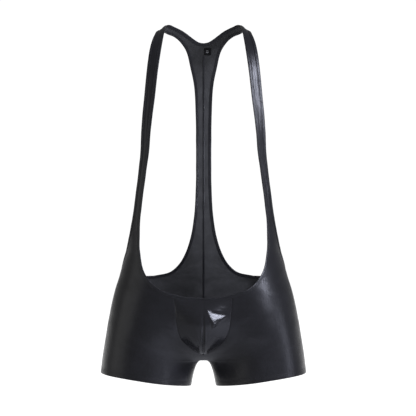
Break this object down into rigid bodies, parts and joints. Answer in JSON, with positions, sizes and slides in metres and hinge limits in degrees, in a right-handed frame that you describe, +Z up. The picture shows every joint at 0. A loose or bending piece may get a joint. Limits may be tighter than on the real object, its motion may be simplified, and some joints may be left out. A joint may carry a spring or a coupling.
{
  "type": "wrestling singlet",
  "caption": "One-piece stretch singlet with a low scoop front, narrow shoulder straps, a single centre-back strap and short legs, standing filled out and hollow.",
  "frame": {"origin": "midway between the tops of the two shoulder straps, on the shoulder ridge, where the wearer's shoulders hold the garment up", "axes": "+Z up, -Y out of the front, +X to the wearer's left"},
  "size_m": [0.3796, 0.2427, 0.6682],
  "materials": {
    "coated_cloth": "black stretch knit with a soft glossy coating",
    "gloss_cloth": "black stretch knit with a high-gloss coating",
    "binding": "black folded stretch binding with a low sheen",
    "label_tape": "black woven tape, bare"
  },
  "bodies": {
    "root": {"front_left": "coated_cloth", "front_right": "coated_cloth", "pouch_left": "gloss_cloth", "pouch_right": "gloss_cloth", "back_left": "coated_cloth", "back_right": "coated_cloth", "neck_band_front_left": "binding", "neck_band_front_right": "binding", "neck_band_back_left": "binding", "neck_band_back_right": "binding", "arm_band_front_left": "binding", "arm_band_front_right": "binding", "arm_band_back_left": "binding", "arm_band_back_right": "binding", "label": "label_tape"}
  },
  "joints": []
}
